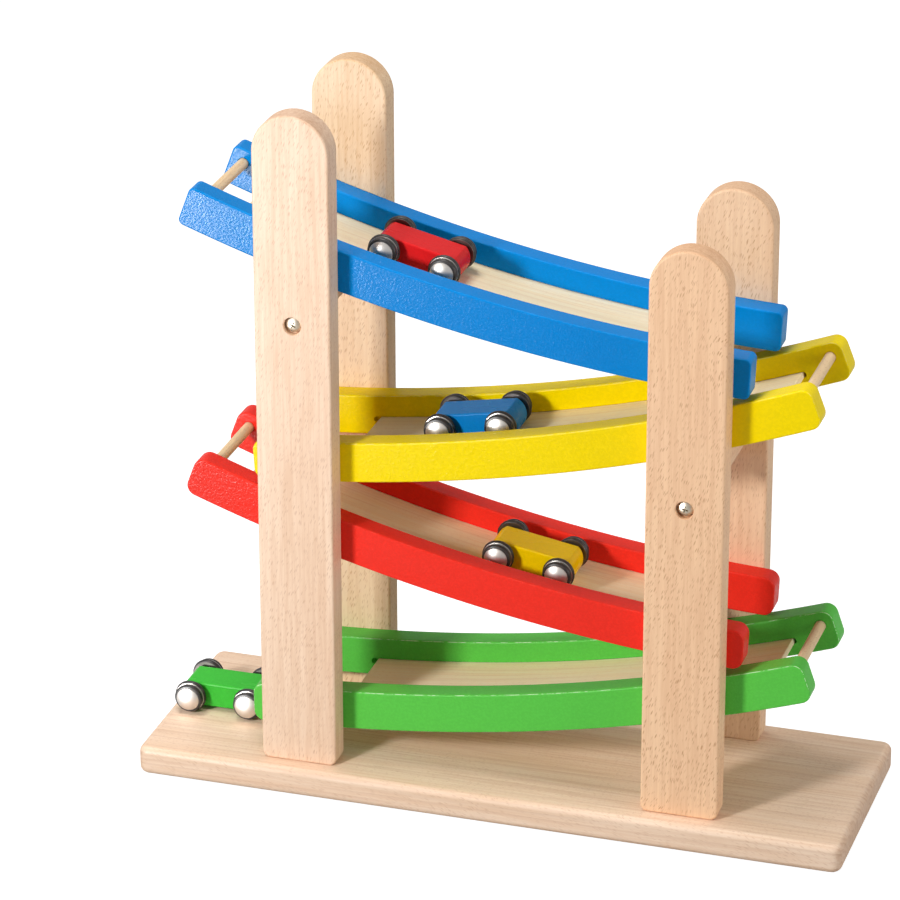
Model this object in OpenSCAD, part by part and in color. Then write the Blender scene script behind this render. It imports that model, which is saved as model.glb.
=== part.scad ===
// Click clack track: four curved wooden ramps hang between two pairs of uprights on a board,
// and four small cars roll and drop from one ramp to the next until they reach the board.
// Millimetres. The origin is the middle of the board's underside, +X runs along the board to
// the right, +Y to the back and +Z up.
// A ramp is an arc that is highest at its upper end and almost level at its lower end. A point
// on it is given by its radius from the arc's centre and its angle from straight down.

/* [Base board] */
// Length of the base board
base_len = 300; // [290:1:340]
// Thickness of the base board
base_thick = 12.5; // [11:0.5:20]
// Width of board left bare outside the uprights, front and back
base_border = 7.5; // [4:0.5:15]
// Rounding of the board's corners, seen from above
base_corner_r = 4.5; // [3.5:0.5:8]
// Rounding of the board's edges
base_edge_r = 3; // [1:0.5:4.5]

/* [Uprights] */
// Width of an upright, and of the round at its top
upright_width = 32; // [28:1:40]
// Thickness of an upright
upright_thick = 11; // [10:0.5:16]
// Distance from the middle of the toy to the middle of each pair of uprights
upright_x = 81; // [74:1:86]
// Length of the two left uprights
left_upright_len = 282; // [270:1:320]
// Length of the two right uprights
right_upright_len = 243.7; // [232:0.1:280]
// Rounding of an upright's bottom corners
upright_corner_r = 3; // [1:0.5:5]
// Rounding of an upright's long arrises
upright_arris_r = 1; // [0.5:0.25:2]

/* [Ramps] */
// Inner width of a ramp, between its two rails
channel_width = 42; // [38:1:50]
// Radius of the curved top edge of a rail
rail_radius = 753; // [735:1:830]
// Length of a rail along its top edge
rail_len = 236.6; // [228:0.1:240]
// Height of a rail
rail_height = 17; // [15.5:0.5:20]
// Thickness of a rail
rail_thick = 10; // [9:0.5:14]
// Rounding of the corners at the ends of the yellow, red and green rails
rail_corner_r = 4.5; // [2:0.5:6]
// Rounding of the corners at the ends of the blue rails
blue_corner_r = 2.5; // [2:0.5:6]
// Distance from the middle of the toy to the upper end of each ramp
rail_end_x = 127; // [124:0.5:132]
// Sideways distance from the middle of the toy to the centre of the blue ramp's arc
blue_low_x = 136.5; // [130:0.5:142]
// Sideways distance from the middle of the toy to the centre of the yellow ramp's arc
yellow_low_x = 149; // [142:0.5:154]
// Sideways distance from the middle of the toy to the centre of the red ramp's arc
red_low_x = 136.2; // [130:0.1:142]
// Sideways distance from the middle of the toy to the centre of the green ramp's arc
green_low_x = 122.7; // [116:0.1:130]
// Height at which the blue ramp's lower end passes over the yellow rails
blue_tip_gap = 0.7; // [0.5:0.1:3]
// Height at which the yellow ramp's lower end passes over the red rails
yellow_tip_gap = 2.3; // [0.5:0.1:3]
// Height at which the red ramp's lower end passes over the green rails
red_tip_gap = 1.3; // [0.5:0.1:3]
// Height of the green ramp's rails above the board, at their lowest
green_clear = 10.3; // [9:0.1:20]

/* [Ramp floors] */
// Depth of a floor below the top edge of its rails
floor_drop = 9.4; // [8.4:0.1:10.5]
// Thickness of a floor
floor_thick = 2.5; // [2:0.1:3]
// Depth of the groove that holds a floor in each rail
groove_depth = 3; // [2:0.25:3.5]
// Length of rail without a floor at the upper end
floor_setback = 19; // [16:0.5:22]
// Length of rail without a floor at the lower end, where a car drops through
drop_gap = 37; // [34:0.5:44]
// Length of groove that shows beyond the floor at the lower end
groove_past = 3; // [2:0.25:5]

/* [Stop dowels] */
// Diameter of the dowel across the upper end of a ramp
stop_d = 4.5; // [3:0.5:6]
// Distance from the rail's upper end to the middle of the dowel
stop_inset = 6; // [5:0.5:8]
// Depth of the dowel's middle below the top edge of the rails
stop_depth = 6; // [5:0.5:8]
// Depth of the dowel's socket in each rail
stop_socket = 5; // [3:0.5:7]

/* [Joinery] */
// Diameter of the hidden dowel pins that hold the rails on the uprights
pin_d = 5; // [4:0.5:6]
// Depth of a pin in a rail
pin_in_rail = 5.5; // [4:0.25:6]
// Depth of a pin in an upright
pin_in_upright = 7; // [5:0.5:8]
// Diameter of the two crossbars
bar_d = 12; // [10:0.5:14]
// Height of clear air between the left crossbar and the blue rails above it
left_bar_clear = 11; // [8:0.5:16]
// Height of clear air between the right crossbar and the yellow rails above it
right_bar_clear = 13; // [8:0.5:16]
// Diameter of the wood screws' shanks
screw_d = 3.5; // [3:0.1:4]
// Length of a crossbar screw under its head
bar_screw_len = 22; // [16:1:26]
// Diameter of a crossbar screw's pan head
pan_d = 6; // [5.4:0.1:6.4]
// Height of a crossbar screw's pan head
pan_h = 2.2; // [1.6:0.1:2.6]
// Diameter of the counterbore for a pan head
counterbore_d = 7.4; // [7:0.1:9]
// Depth of the counterbore for a pan head
counterbore_depth = 3; // [2.8:0.1:4]
// Length of a base screw
base_screw_len = 30; // [24:1:36]
// Distance between the two base screws under an upright
base_screw_pitch = 16; // [12:1:20]
// Diameter of a base screw's countersunk head
csk_d = 7; // [6:0.1:8]
// Depth to which a countersunk head is sunk under the board
csk_sink = 0.8; // [0.4:0.1:1.5]

/* [Cars] */
// Distance between a car's two axles
wheelbase = 26; // [23:0.5:28]
// Width of a car's body
car_width = 16; // [13:0.5:16.5]
// Height of a car's body
car_height = 10.4; // [9:0.1:11]
// Length of a car's body
car_len = 37; // [34:0.5:40]
// Height of a car's top above its axles
car_rise = 5; // [4.2:0.1:6]
// Radius of the curved ends of a car's body
car_end_r = 7.2; // [6.6:0.1:12]
// Depth of the foremost point of those ends below the axles
car_end_drop = 0.9; // [0:0.1:2]
// Rounding of the arrises along a car
car_arris_r = 0.8; // [0.4:0.1:1.5]
// Place of the red car along the toy, on the blue ramp
red_car_x = -40; // [-60:0.5:30]
// Place of the blue car along the toy, on the yellow ramp
blue_car_x = -16.5; // [-30:0.5:60]
// Place of the yellow car along the toy, on the red ramp
yellow_car_x = 8.2; // [-60:0.1:30]
// Distance from the board's left end to the green car's front wheels
green_car_setback = 3; // [1:0.5:6]

/* [Wheels] */
// Radius of a wheel, over its inner rubber ring
wheel_r = 6.8; // [6.6:0.1:7.4]
// Radius over the smaller outer rubber ring
outer_ring_r = 6.1; // [5.9:0.1:6.5]
// Thickness of a rubber ring
ring_d = 2.3; // [2:0.1:2.5]
// Width of the bright collar between the two rubber rings
collar_width = 0.4; // [0.3:0.1:0.8]
// Depth of the collar below the inner ring's running edge
collar_sink = 0.6; // [0.4:0.1:1]
// Distance from a car's middle to the middle of a wheel
wheel_y = 12; // [11.9:0.1:13]
// Thickness of metal behind the inner ring
hub_wall = 0.25; // [0.2:0.05:0.5]
// Radius of the silver dome on a hub
dome_r = 4.9; // [4.4:0.1:5.2]
// Height of the silver dome
dome_h = 1.6; // [1:0.1:2.5]
// Thickness of the dome's edge
dome_lip = 0.3; // [0.2:0.1:0.6]
// Radius of the boss on the inside of a hub
boss_r = 2.2; // [1.8:0.1:2.6]
// Gap between a hub's boss and the side of the body
boss_gap = 0.4; // [0.3:0.1:0.8]
// Radius of the dish in the inside of a hub
dish_r = 4; // [3.4:0.1:4.3]
// Depth of that dish
dish_depth = 0.9; // [0.4:0.1:1.2]
// Diameter of an axle
axle_d = 2.4; // [2:0.1:3]
// Length of axle inside the outer half of a hub
axle_hold = 1; // [0.5:0.1:1.5]

/* [Hidden] */
// Small distances: the gap round a glued or pressed piece, the gap round an axle in its body,
// the height of a tyre above what it rolls on, and the overrun of every cut
fit_gap = 0.03;
running_gap = 0.05;
ride_gap = 0.15;
cut_over = 1;
// Cross recess in a screw's head: its length, width and depth
recess_len = 3.6;
recess_width = 0.8;
recess_depth = 1.2;
// Height of a pan head's straight edge, length of a countersunk cone, and the wider hole that
// a shank passes through freely
pan_edge = 0.8;
csk_h = 2;
shank_gap = 0.2;

$fn = 48;
arc_fn = 720;

BLUE = 0;
YELLOW = 1;
RED = 2;
GREEN = 3;
RAMPS = [BLUE, YELLOW, RED, GREEN];
ramp_names = ["blue", "yellow", "red", "green"];
ramp_colours = ["#0a74d4", "#f8d80c", "#ee3a2c", "#52c448"];
beech = "#dcb184";
birch = "#e6cda4";
silver = "#d0d2d4";
rubber = "#262424";

// Cars in the order of what they stand on: the blue, yellow and red ramps, and the board
CARS = [0, 1, 2, 3];
car_names = ["red_car", "blue_car", "yellow_car", "green_car"];
car_colours = [ramp_colours[RED], ramp_colours[BLUE], ramp_colours[YELLOW], ramp_colours[GREEN]];
// Side on which a ramp has its upper end, and the way in which a car rolls down
ramp_sides = [-1, 1, -1, 1];
car_ways = [1, -1, 1, -1];

// Places across the toy
in_y = channel_width / 2 + rail_thick;
out_y = in_y + upright_thick;
base_width = 2 * (out_y + base_border);
floor_width = channel_width + 2 * groove_depth;
upright_lens = [left_upright_len, right_upright_len];

// Arcs of the ramps
rail_low_r = rail_radius + rail_height;
rail_mid_r = rail_radius + rail_height / 2;
floor_r = rail_radius + floor_drop;
low_xs = [blue_low_x, yellow_low_x, red_low_x, green_low_x];
tip_gaps = [blue_tip_gap, yellow_tip_gap, red_tip_gap];
corner_rs = [blue_corner_r, rail_corner_r, rail_corner_r, rail_corner_r];

function turn(len, r) = len / r * 180 / PI;
half_turn = turn(rail_len, rail_radius) / 2;
function polar(r, a) = [r * sin(a), -r * cos(a)];
function centre_x(c) = -ramp_sides[c] * low_xs[c];
function upper_a(c) = asin((ramp_sides[c] * rail_end_x - centre_x(c)) / rail_radius);
function middle_a(c) = upper_a(c) - ramp_sides[c] * half_turn;
function lower_a(c) = upper_a(c) - ramp_sides[c] * 2 * half_turn;
function drop_at(c, r, x) = sqrt(r * r - pow(x - centre_x(c), 2));
// The green ramp hangs over the board, and each other ramp just over the next one's rails
function tip_x(c) = centre_x(c) + rail_low_r * sin(lower_a(c));
function centre_z(c) = c == GREEN
  ? base_thick + green_clear + rail_low_r
  : centre_z(c + 1) - drop_at(c + 1, rail_radius, tip_x(c)) + tip_gaps[c] + rail_low_r * cos(lower_a(c));
function height_at(c, r, x) = centre_z(c) - drop_at(c, r, x);
// Angles between which a piece of a ramp lies, cut back from the rails' lower and upper ends. A
// ramp is drawn with its middle straight down from the arc's centre and its upper end to the right.
function arc_span(from_lower, from_upper) =
  [turn(from_lower, rail_radius) - half_turn, half_turn - turn(from_upper, rail_radius)];

// Heights of the left and the right crossbar
bar_zs = [
  height_at(BLUE, rail_low_r, -upright_x) - left_bar_clear - bar_d / 2,
  height_at(YELLOW, rail_low_r, upright_x) - right_bar_clear - bar_d / 2
];

// Wheels, measured outwards from the middle of a wheel
ring_out = (ring_d + collar_width) / 2;
hub_back = ring_out + ring_d / 2 + hub_wall;
dome_base = ring_out + ring_d / 2 + dome_lip;
boss_out = wheel_y - hub_back - car_width / 2 - boss_gap;
axle_r = axle_d / 2;
axle_len = 2 * (wheel_y + axle_hold);

// Places of the cars
car_xs = [red_car_x, blue_car_x, yellow_car_x, -base_len / 2 + green_car_setback + wheel_r + wheelbase / 2];
axle_path_r = floor_r - wheel_r - ride_gap;
car_path_r = sqrt(pow(axle_path_r, 2) - pow(wheelbase / 2, 2));
function car_angle(k) = asin((car_xs[k] - centre_x(k)) / car_path_r);

// Outlines

module rounded_rectangle(w, h, r) {
  square([w - 2 * r, h], center = true);
  square([w, h - 2 * r], center = true);
  for (x = [-1, 1], y = [-1, 1]) translate([x * (w / 2 - r), y * (h / 2 - r)]) circle(r = r);
}

// Part of a ring between two radii and two angles
module ring_part(r0, r1, a0, a1) {
  intersection() {
    difference() {
      circle(r = r1, $fn = arc_fn);
      circle(r = r0, $fn = arc_fn);
    }
    polygon([[0, 0], polar(2 * r1, a0), polar(2 * r1, a1)]);
  }
}

// The same, with its four corners rounded
module round_ring_part(r0, r1, a0, a1, corner) {
  inset = turn(corner, r0);
  ring_part(r0, r1, a0 + inset, a1 - inset);
  if (r1 - r0 > 2 * corner) ring_part(r0 + corner, r1 - corner, a0, a1);
  for (a = [a0 + inset, a1 - inset], r = [r0 + corner, r1 - corner])
    translate(polar(r, a)) circle(r = corner);
}

// Low dome of radius r and height h over the X axis, to be turned round the Y axis
module dome_profile(r, h) {
  ball_r = (r * r + h * h) / (2 * h);
  intersection() {
    translate([0, h - ball_r]) circle(r = ball_r, $fn = 2 * $fn);
    square([r, h]);
  }
}

// Placing

// Stands an outline up across the toy, from y0 to y1
module stand(y0, y1) {
  translate([0, y1, 0]) rotate([90, 0, 0]) linear_extrude(y1 - y0) children();
}

// Turns a ramp's drawing about the centre of its arc into its place
module on_ramp(c) {
  translate([centre_x(c), 0, centre_z(c)]) rotate([0, -middle_a(c), 0])
    mirror([ramp_sides[c] < 0 ? 1 : 0, 0, 0]) children();
}

// Leaves what is drawn at the back there where side is 1, and brings it to the front where it is -1
module at_side(side) {
  mirror([0, side < 0 ? 1 : 0, 0]) children();
}

// Round rod across the toy, from y0 to y1
module rod(x, z, y0, y1, r) {
  translate([x, y0, z]) rotate([-90, 0, 0]) cylinder(r = r, h = y1 - y0);
}

// Points its child's +Z along +Y, with its origin at the given place
module facing_back(x, y, z) {
  translate([x, y, z]) rotate([-90, 0, 0]) children();
}

// Base board and its screws

module base_board() {
  color(beech) difference() {
    intersection() {
      linear_extrude(base_thick) rounded_rectangle(base_len, base_width, base_corner_r);
      translate([0, 0, base_thick / 2]) stand(-base_width / 2, base_width / 2)
        rounded_rectangle(base_len, base_thick, base_edge_r);
      translate([-base_len / 2, 0, base_thick / 2]) rotate([90, 0, 90]) linear_extrude(base_len)
        rounded_rectangle(base_width, base_thick, base_edge_r);
    }
    for_base_screws() {
      translate([0, 0, -cut_over]) cylinder(r = screw_d / 2 + shank_gap, h = base_thick + 2 * cut_over);
      translate([0, 0, -cut_over]) cylinder(r = csk_d / 2 + fit_gap, h = csk_sink + cut_over);
      translate([0, 0, csk_sink]) cylinder(r1 = csk_d / 2 + fit_gap, r2 = screw_d / 2 + fit_gap, h = csk_h);
    }
  }
}

// Two screws under each upright
module for_base_screws() {
  for (x = [-1, 1], y = [-1, 1], pair = [-1, 1])
    translate([x * upright_x + pair * base_screw_pitch / 2, y * (in_y + upright_thick / 2), 0]) children();
}

module cross_recess() {
  for (a = [0, 90]) rotate([0, 0, a]) translate([-recess_len / 2, -recess_width / 2, 0])
    cube([recess_len, recess_width, recess_depth + cut_over]);
}

module base_screws() {
  color(silver) for_base_screws() translate([0, 0, csk_sink]) difference() {
    union() {
      cylinder(r1 = csk_d / 2, r2 = screw_d / 2, h = csk_h);
      cylinder(r = screw_d / 2, h = base_screw_len);
    }
    translate([0, 0, -cut_over]) cross_recess();
  }
}

// Uprights: side_x is -1 for the left pair and 1 for the right pair, side_y -1 for the front

module upright_outline(len) {
  half = upright_width / 2;
  foot = half - upright_corner_r;
  translate([-half, upright_corner_r]) square([upright_width, len - half - upright_corner_r]);
  translate([-foot, 0]) square([2 * foot, len - half]);
  for (x = [-1, 1]) translate([x * foot, upright_corner_r]) circle(r = upright_corner_r);
  translate([0, len - half]) circle(r = half, $fn = 2 * $fn);
}

module upright(side_x, side_y) {
  pair = side_x < 0 ? 0 : 1;
  len = upright_lens[pair];
  seat_y = out_y - counterbore_depth;
  color(beech) at_side(side_y) difference() {
    translate([side_x * upright_x, 0, base_thick]) intersection() {
      stand(in_y, out_y) upright_outline(len);
      translate([0, in_y + upright_thick / 2, 0]) linear_extrude(len)
        rounded_rectangle(upright_width, upright_thick, upright_arris_r);
    }
    for (c = RAMPS) rail_pin(c, side_x, fit_gap);
    rod(side_x * upright_x, bar_zs[pair], in_y - cut_over, out_y, screw_d / 2 + shank_gap);
    rod(side_x * upright_x, bar_zs[pair], seat_y, out_y + cut_over, counterbore_d / 2);
    for (x = [-1, 1])
      translate([side_x * upright_x + x * base_screw_pitch / 2, in_y + upright_thick / 2, csk_sink])
        cylinder(r = screw_d / 2 + fit_gap, h = base_screw_len + cut_over);
  }
}

// Hidden dowel pin between a rail and the upright outside it, at the back
module rail_pin(c, side_x, gap) {
  x = side_x * upright_x;
  z = height_at(c, rail_mid_r, x);
  rod(x, z, in_y - pin_in_rail - gap, in_y + pin_in_upright + gap, pin_d / 2 + gap);
}

module rail_pins(c) {
  color(birch) for (side_x = [-1, 1], side_y = [-1, 1]) at_side(side_y) rail_pin(c, side_x, 0);
}

// Crossbars: each is a round bar between a front and a back upright, screwed at both ends

module crossbar(side_x) {
  pair = side_x < 0 ? 0 : 1;
  hole_depth = bar_screw_len + counterbore_depth - upright_thick + cut_over;
  color(beech) difference() {
    rod(side_x * upright_x, bar_zs[pair], -in_y, in_y, bar_d / 2);
    for (side_y = [-1, 1]) at_side(side_y)
      rod(side_x * upright_x, bar_zs[pair], in_y - hole_depth, in_y + cut_over, screw_d / 2 + fit_gap);
  }
}

module pan_screw() {
  difference() {
    union() {
      rotate_extrude() {
        square([pan_d / 2, pan_edge]);
        translate([0, pan_edge]) dome_profile(pan_d / 2, pan_h - pan_edge);
      }
      translate([0, 0, -bar_screw_len]) cylinder(r = screw_d / 2, h = bar_screw_len + pan_edge);
    }
    translate([0, 0, pan_h - recess_depth]) cross_recess();
  }
}

module crossbar_screws() {
  color(silver) for (pair = [0, 1], side_y = [-1, 1]) at_side(side_y)
    facing_back((2 * pair - 1) * upright_x, out_y - counterbore_depth, bar_zs[pair]) pan_screw();
}

// Ramps: a floor held in the grooves of two rails, with a dowel across its upper end

module rail(c, side_y) {
  span = arc_span(0, 0);
  groove_half = floor_thick / 2 + fit_gap;
  groove_r = floor_r + floor_thick / 2;
  groove = arc_span(drop_gap - groove_past, floor_setback - groove_half);
  color(ramp_colours[c]) at_side(side_y) difference() {
    on_ramp(c) difference() {
      stand(channel_width / 2, in_y)
        round_ring_part(rail_radius, rail_low_r, span[0], span[1], corner_rs[c]);
      stand(channel_width / 2 - cut_over, channel_width / 2 + groove_depth + fit_gap)
        round_ring_part(groove_r - groove_half, groove_r + groove_half, groove[0], groove[1], groove_half);
      stop_rod(channel_width / 2 - cut_over, channel_width / 2 + stop_socket + fit_gap, fit_gap);
    }
    for (side_x = [-1, 1]) rail_pin(c, side_x, fit_gap);
  }
}

module floor_strip(c) {
  span = arc_span(drop_gap, floor_setback);
  color(birch) on_ramp(c) stand(-floor_width / 2, floor_width / 2)
    ring_part(floor_r, floor_r + floor_thick, span[0], span[1]);
}

module stop_rod(y0, y1, gap) {
  place = polar(rail_radius + stop_depth, half_turn - turn(stop_inset, rail_radius));
  rod(place[0], place[1], y0, y1, stop_d / 2 + gap);
}

module stop_dowel(c) {
  reach = channel_width / 2 + stop_socket;
  color(birch) on_ramp(c) stop_rod(-reach, reach, 0);
}

// Cars: a wooden block on two steel axles, each with a metal hub at both ends and two rubber
// rings round each hub. A car is drawn about the point midway between its axles, +X forwards.

module place_car(k) {
  if (k == GREEN) translate([car_xs[k], 0, base_thick + wheel_r + ride_gap]) children();
  else translate([centre_x(k), 0, centre_z(k)]) rotate([0, -car_angle(k), 0])
    translate([0, 0, -car_path_r]) children();
}

module at_axle(k, end) {
  place_car(k) translate([end * car_ways[k] * wheelbase / 2, 0, 0]) children();
}

module car_outline() {
  low = car_rise - car_height;
  centre = car_len / 2 - car_end_r;
  translate([-centre, low]) square([2 * centre, car_height]);
  intersection() {
    translate([-car_len / 2, low]) square([car_len, car_height]);
    for (x = [-1, 1]) translate([x * centre, -car_end_drop]) circle(r = car_end_r, $fn = 2 * $fn);
  }
}

module car_body(k) {
  color(car_colours[k]) difference() {
    place_car(k) intersection() {
      stand(-car_width / 2, car_width / 2) car_outline();
      translate([-car_len / 2, 0, car_rise - car_height / 2]) rotate([90, 0, 90]) linear_extrude(car_len)
        rounded_rectangle(car_width, car_height, car_arris_r);
    }
    for (end = [-1, 1]) at_axle(k, end)
      rod(0, 0, -car_width / 2 - cut_over, car_width / 2 + cut_over, axle_r + running_gap);
  }
}

module axle(k, end) {
  color(silver) at_axle(k, end) rod(0, 0, -axle_len / 2, axle_len / 2, axle_r);
}

// Both wheels of an axle: the child's +Z points outwards from the middle of each wheel
module for_wheels(k, end) {
  at_axle(k, end) for (side = [-1, 1]) at_side(side) facing_back(0, wheel_y, 0) children();
}

module ring_section(r, out, gap) {
  translate([r - ring_d / 2, out]) circle(r = ring_d / 2 + gap);
}

module hub_profile() {
  bore_r = axle_r + fit_gap;
  difference() {
    union() {
      translate([0, -hub_back]) square([wheel_r - collar_sink, hub_back + collar_width / 2]);
      square([dome_r, dome_base]);
      translate([0, dome_base]) dome_profile(dome_r, dome_h);
      translate([0, -hub_back - boss_out]) square([boss_r, boss_out + hub_back]);
    }
    ring_section(wheel_r, -ring_out, fit_gap);
    ring_section(outer_ring_r, ring_out, fit_gap);
    translate([boss_r, -hub_back - cut_over]) square([dish_r - boss_r, dish_depth + cut_over]);
    translate([-cut_over, -hub_back - boss_out - cut_over])
      square([bore_r + cut_over, hub_back + boss_out + axle_hold + fit_gap + cut_over]);
  }
}

module hubs(k, end) {
  color(silver) for_wheels(k, end) rotate_extrude() intersection() {
    hub_profile();
    translate([0, -wheel_y]) square([wheel_r, 2 * wheel_y]);
  }
}

module tyres(k, end) {
  color(rubber) for_wheels(k, end) {
    rotate_extrude() ring_section(wheel_r, -ring_out, 0);
    rotate_extrude() ring_section(outer_ring_r, ring_out, 0);
  }
}

base_board();
upright(-1, -1);  // upright_front_left
upright(-1, 1);  // upright_back_left
upright(1, -1);  // upright_front_right
upright(1, 1);  // upright_back_right
for (c = RAMPS) {
  rail(c, -1);
  rail(c, 1);
  floor_strip(c);
  stop_dowel(c);
  rail_pins(c);
}
crossbar(-1);  // crossbar_left
crossbar(1);  // crossbar_right
crossbar_screws();
base_screws();
for (k = CARS) {
  car_body(k);
  axle(k, 1);
  axle(k, -1);
  hubs(k, 1);
  hubs(k, -1);
  tyres(k, 1);
  tyres(k, -1);
}
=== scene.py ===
# Click clack track: four curved wooden ramps hang between two pairs of beech uprights on a board,
# and four small cars roll down them. The sections follow the order in which the toy is put
# together. Everything is in metres, with +X along the board to the right and +Y to the back.
import math
import bmesh
import bpy
from mathutils import Matrix, Vector


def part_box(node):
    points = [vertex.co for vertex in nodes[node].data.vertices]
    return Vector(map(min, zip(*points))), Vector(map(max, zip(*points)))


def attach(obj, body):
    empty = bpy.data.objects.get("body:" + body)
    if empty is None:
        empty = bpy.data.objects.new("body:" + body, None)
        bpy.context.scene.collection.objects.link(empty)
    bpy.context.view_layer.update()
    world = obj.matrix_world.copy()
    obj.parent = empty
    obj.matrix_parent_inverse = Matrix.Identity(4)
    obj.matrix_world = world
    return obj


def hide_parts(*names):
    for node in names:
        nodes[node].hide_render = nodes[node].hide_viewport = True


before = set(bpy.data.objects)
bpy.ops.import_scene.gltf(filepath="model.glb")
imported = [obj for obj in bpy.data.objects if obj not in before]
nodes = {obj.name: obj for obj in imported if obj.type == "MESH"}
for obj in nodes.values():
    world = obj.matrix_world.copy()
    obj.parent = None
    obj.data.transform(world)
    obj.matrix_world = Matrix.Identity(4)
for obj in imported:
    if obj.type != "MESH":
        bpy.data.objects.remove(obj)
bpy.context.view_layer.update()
mm = 0.001

# Base board: one planed beech board with its grain along its length. Its corners are rounded
# seen from above, its edges are rounded over, and eight screw holes are countersunk from below.


def open_piece(piece):
    """Opens one piece in edit mode, with nothing selected."""
    bpy.ops.object.select_all(action="DESELECT")
    bpy.context.view_layer.objects.active = piece
    piece.select_set(True)
    bpy.ops.object.mode_set(mode="EDIT")
    bpy.ops.mesh.select_all(action="DESELECT")


def pick(kind, wanted):
    """Selects the vertices, edges or faces of the open piece for which wanted is true."""
    bpy.ops.mesh.select_mode(type=kind)
    bpy.ops.mesh.select_all(action="DESELECT")
    mesh = bpy.context.object.data
    edit = bmesh.from_edit_mesh(mesh)
    for part in {"VERT": edit.verts, "EDGE": edit.edges, "FACE": edit.faces}[kind]:
        if wanted(part):
            part.select_set(True)
    edit.select_flush_mode()
    bmesh.update_edit_mesh(mesh)


def runs_along(axis):
    """Edges that run along an axis."""
    return lambda edge: abs((edge.verts[1].co - edge.verts[0].co).normalized()[axis]) > 0.99


def rim_of(axis):
    """Edges between a face that looks along an axis and one that doesn't."""
    def wanted(edge):
        looks = [abs(face.normal[axis]) > 0.99 for face in edge.link_faces]
        return len(looks) == 2 and looks[0] != looks[1]
    return wanted


def close_piece(piece, smooth=35):
    """Closes an open piece with its faces pointing outwards, and smooths what is nearly flat."""
    bpy.ops.mesh.select_all(action="SELECT")
    bpy.ops.mesh.remove_doubles(threshold=0.001 * mm)
    bpy.ops.mesh.normals_make_consistent(inside=False)
    bpy.ops.object.mode_set(mode="OBJECT")
    bpy.ops.object.shade_smooth_by_angle(angle=math.radians(smooth))
    return piece


def fix_place():
    """Puts the place, turn and size of the new primitive into its mesh."""
    bpy.ops.object.transform_apply(location=True, rotation=True, scale=True)
    return bpy.context.object


def turned(steps, count=48):
    """A piece turned on the Z axis: a disc is drawn out through steps of (radius, height)."""
    radius, height = steps[0]
    bpy.ops.mesh.primitive_circle_add(
        vertices=count, radius=radius, fill_type="NGON", location=(0, 0, height)
    )
    piece = fix_place()
    open_piece(piece)
    bpy.ops.mesh.select_all(action="SELECT")
    for new_radius, new_height in steps[1:]:
        bpy.ops.mesh.extrude_region_move(
            TRANSFORM_OT_translate={"value": (0, 0, new_height - height)}
        )
        if new_radius != radius:
            grow = new_radius / radius
            bpy.ops.transform.resize(value=(grow, grow, 1), center_override=(0, 0, new_height))
        radius, height = new_radius, new_height
    return close_piece(piece)


def turn_into_place(piece, place):
    """Moves a piece by a matrix, in its mesh, and keeps its faces pointing outwards."""
    piece.data.transform(place)
    if place.determinant() < 0:
        piece.data.flip_normals()
    return piece


def another(pattern, place=Matrix.Identity(4)):
    """A copy of a pattern with its own mesh, put in its place."""
    copy = bpy.data.objects.new(pattern.name, pattern.data.copy())
    bpy.context.collection.objects.link(copy)
    return turn_into_place(copy, place)


def put_together(pieces):
    """Joins pieces into the first one."""
    bpy.ops.object.select_all(action="DESELECT")
    for piece in pieces:
        piece.select_set(True)
    bpy.context.view_layer.objects.active = pieces[0]
    bpy.ops.object.join()
    return pieces[0]


def cut(piece, tool):
    """Cuts the tool's shape out of a piece, and puts the tool away."""
    bpy.ops.object.select_all(action="DESELECT")
    bpy.context.view_layer.objects.active = piece
    piece.select_set(True)
    hole = piece.modifiers.new("cut", "BOOLEAN")
    hole.object, hole.operation, hole.solver = tool, "DIFFERENCE", "EXACT"
    bpy.ops.object.modifier_apply(modifier=hole.name)
    bpy.data.objects.remove(tool)
    bpy.ops.object.shade_smooth_by_angle(angle=math.radians(35))
    return piece


def add_node(tree, kind, values=None, **settings):
    """Adds a shader node, and sets or links its inputs."""
    new = tree.nodes.new("ShaderNode" + kind)
    for name, value in settings.items():
        setattr(new, name, value)
    for key, value in (values or {}).items():
        if isinstance(value, bpy.types.NodeSocket):
            tree.links.new(value, new.inputs[key])
        else:
            new.inputs[key].default_value = value
    return new


def calc(tree, operation, a, b=0.0, c=0.0):
    """One sum on values."""
    return add_node(tree, "Math", {0: a, 1: b, 2: c}, operation=operation).outputs[0]


def stretch(tree, vector, across):
    """A vector times (x, y, z)."""
    return add_node(tree, "VectorMath", {0: vector, 1: across}, operation="MULTIPLY").outputs[0]


def noise(tree, place, cells, detail=2.0, roughness=0.5):
    """Noise with so many cells to the metre along X, Y and Z."""
    values = {"Vector": stretch(tree, place, cells), "Scale": 1.0, "Detail": detail, "Roughness": roughness}
    return add_node(tree, "TexNoise", values).outputs["Fac"]


def step_between(tree, value, low, high):
    """0 below low, 1 above high, and smooth in between."""
    values = {"Value": value, "From Min": low, "From Max": high}
    return add_node(tree, "MapRange", values, interpolation_type="SMOOTHSTEP").outputs[0]


def blend_colours(tree, amount, a, b):
    """Colour a towards colour b."""
    return add_node(tree, "Mix", {0: amount, 6: a, 7: b}, data_type="RGBA").outputs[2]


def new_group(name, inputs, outputs):
    """An empty node group with its sockets, and its input and output nodes."""
    tree = bpy.data.node_groups.new(name, "ShaderNodeTree")
    for socket, kind, value in inputs:
        made = tree.interface.new_socket(socket, in_out="INPUT", socket_type="NodeSocket" + kind)
        if value is not None:
            made.default_value = value
    for socket, kind in outputs:
        tree.interface.new_socket(socket, in_out="OUTPUT", socket_type="NodeSocket" + kind)
    return tree, tree.nodes.new("NodeGroupInput").outputs, tree.nodes.new("NodeGroupOutput").inputs


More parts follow.
